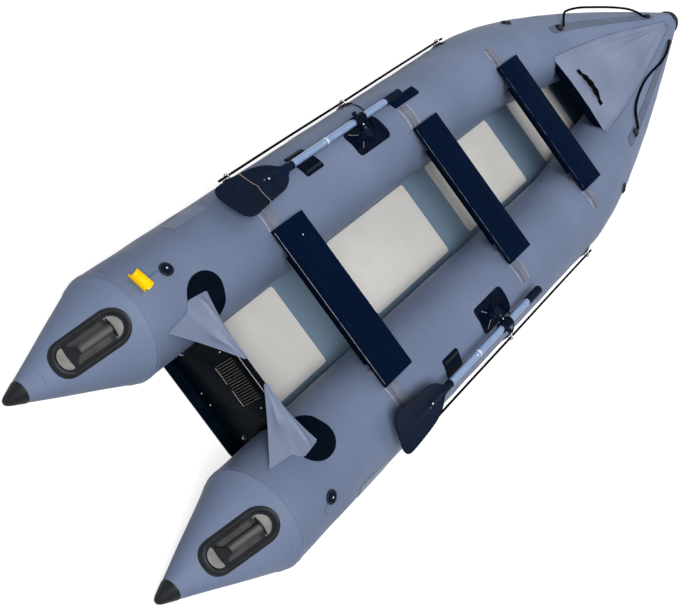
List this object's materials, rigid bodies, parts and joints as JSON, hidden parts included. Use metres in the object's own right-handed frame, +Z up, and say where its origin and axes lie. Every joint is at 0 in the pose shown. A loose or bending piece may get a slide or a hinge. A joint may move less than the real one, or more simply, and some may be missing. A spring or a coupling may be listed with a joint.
{
  "type": "inflatable kayak",
  "caption": "Inflatable kayak with two side tubes joined at a pointed bow, raked transom, air floor, bench seats, bow spray deck, lifelines and stowed oars on swivelling oarlocks.",
  "frame": {"origin": "on the ground plane under the hull, midway between the stern cones' tips and the bow's tip and midway between the two sides", "axes": "+Z up, +Y towards the bow, +X to starboard"},
  "size_m": [1.216, 4.3, 0.4919],
  "materials": {
    "tube_fabric": "PVC-coated polyester, satin",
    "bottom_fabric": "PVC-coated polyester, satin",
    "floor_fabric": "textured drop-stitch PVC, matt",
    "deck_fabric": "PVC-coated polyester, satin",
    "black_rubber": "moulded, satin",
    "painted_transom": "marine plywood, gloss paint",
    "seat_paint": "marine plywood, satin paint",
    "rail_strip": "extruded PVC strip",
    "shaft_aluminium": "anodised tube, satin",
    "black_plastic": "moulded, matt",
    "black_rope": "braided cord",
    "black_webbing": "woven webbing",
    "yellow_card": "plastic card, plain"
  },
  "bodies": {
    "hull": {"air_floor": "floor_fabric", "bottom_skin": "bottom_fabric", "bow_deck": "deck_fabric", "deck_handle": "black_webbing", "motor_pad": "black_rubber", "nose_cap": "black_rubber", "transom": "painted_transom", "valve_tag": "yellow_card", "port_side_board": "seat_paint", "port_tube": "tube_fabric", "port_splash_flap": "tube_fabric", "port_cone_cap": "black_rubber", "port_stern_handle": "black_rubber", "port_seat_rail_1": "rail_strip", "port_seat_rail_2": "rail_strip", "port_seat_rail_3": "rail_strip", "port_oarlock_pad": "black_rubber", "port_oar_holder": "black_rubber", "port_aft_ring_patch": "black_rubber", "port_middle_ring_patch": "black_rubber", "port_bow_ring_patch": "black_rubber", "port_lifeline": "black_rope", "port_grab_strip": "black_rubber", "port_grab_line": "black_rope", "port_aft_valve_body": "black_rubber", "port_bow_valve_body": "black_rubber", "starboard_tube": "tube_fabric", "starboard_splash_flap": "tube_fabric", "starboard_cone_cap": "black_rubber", "starboard_stern_handle": "black_rubber", "starboard_seat_rail_1": "rail_strip", "starboard_seat_rail_2": "rail_strip", "starboard_seat_rail_3": "rail_strip", "starboard_oarlock_pad": "black_rubber", "starboard_oar_holder": "black_rubber", "starboard_aft_ring_patch": "black_rubber", "starboard_middle_ring_patch": "black_rubber", "starboard_bow_ring_patch": "black_rubber", "starboard_lifeline": "black_rope", "starboard_grab_strip": "black_rubber", "starboard_grab_line": "black_rope", "starboard_aft_valve_body": "black_rubber", "starboard_bow_valve_body": "black_rubber"},
    "seat_1": {"seat_1": "seat_paint"},
    "seat_2": {"seat_2": "seat_paint"},
    "seat_3": {"seat_3": "seat_paint"},
    "port_swivel": {"port_oarlock_swivel": "black_plastic"},
    "port_collar": {"port_oar_collar": "black_rubber"},
    "port_oar": {"port_oar_shaft": "shaft_aluminium", "port_oar_grip": "black_plastic", "port_oar_blade": "black_plastic"},
    "starboard_swivel": {"starboard_oarlock_swivel": "black_plastic"},
    "starboard_collar": {"starboard_oar_collar": "black_rubber"},
    "starboard_oar": {"starboard_oar_shaft": "shaft_aluminium", "starboard_oar_grip": "black_plastic", "starboard_oar_blade": "black_plastic"},
    "port_aft_valve_cap": {"port_aft_valve_cap": "black_plastic"},
    "starboard_aft_valve_cap": {"starboard_aft_valve_cap": "black_plastic"},
    "port_bow_valve_cap": {"port_bow_valve_cap": "black_plastic"},
    "starboard_bow_valve_cap": {"starboard_bow_valve_cap": "black_plastic"}
  },
  "joints": [
    {"name": "seat_1_slide", "type": "slide", "parent": "hull", "child": "seat_1", "axis": [1, 0, 0], "range_m": [-0.05, 0.05]},
    {"name": "seat_2_slide", "type": "slide", "parent": "hull", "child": "seat_2", "axis": [1, 0, 0], "range_m": [-0.05, 0.05]},
    {"name": "seat_3_slide", "type": "slide", "parent": "hull", "child": "seat_3", "axis": [1, 0, 0], "range_m": [-0.05, 0.05]},
    {"name": "port_oarlock_yaw", "type": "hinge", "parent": "hull", "child": "port_swivel", "pos_m": [-0.427, -0.469, 0.44], "axis": [0, 0, -1], "range_deg": [0, 135]},
    {"name": "port_oar_pitch", "type": "hinge", "parent": "port_swivel", "child": "port_collar", "pos_m": [-0.491, -0.469, 0.452], "axis": [-1, 0, 0], "range_deg": [-2, 4]},
    {"name": "port_oar_feather", "type": "hinge", "parent": "port_collar", "child": "port_oar", "pos_m": [-0.491, -0.469, 0.452], "axis": [0, -1, 0], "range_deg": [-25, 20]},
    {"name": "starboard_oarlock_yaw", "type": "hinge", "parent": "hull", "child": "starboard_swivel", "pos_m": [0.427, -0.469, 0.44], "axis": [0, 0, 1], "range_deg": [0, 135]},
    {"name": "starboard_oar_pitch", "type": "hinge", "parent": "starboard_swivel", "child": "starboard_collar", "pos_m": [0.491, -0.469, 0.452], "axis": [-1, 0, 0], "range_deg": [-2, 4]},
    {"name": "starboard_oar_feather", "type": "hinge", "parent": "starboard_collar", "child": "starboard_oar", "pos_m": [0.491, -0.469, 0.452], "axis": [0, 1, 0], "range_deg": [-25, 20]},
    {"name": "port_aft_valve_cap_turn", "type": "hinge", "parent": "hull", "child": "port_aft_valve_cap", "pos_m": [-0.43963, -1.613, 0.4042], "axis": [-0.2588, 0, 0.9659], "range_deg": [0, 90]},
    {"name": "starboard_aft_valve_cap_turn", "type": "hinge", "parent": "hull", "child": "starboard_aft_valve_cap", "pos_m": [0.47857, -1.615, 0.38926], "axis": [0.454, 0, 0.891], "range_deg": [0, 90]},
    {"name": "port_bow_valve_cap_turn", "type": "hinge", "parent": "hull", "child": "port_bow_valve_cap", "pos_m": [-0.48778, 0.937, 0.34826], "axis": [-0.7088, 0.1429, 0.6907], "range_deg": [0, 90]},
    {"name": "starboard_bow_valve_cap_turn", "type": "hinge", "parent": "hull", "child": "starboard_bow_valve_cap", "pos_m": [0.48161, 0.944, 0.35318], "axis": [0.685, 0.1377, 0.7154], "range_deg": [0, 90]}
  ]
}
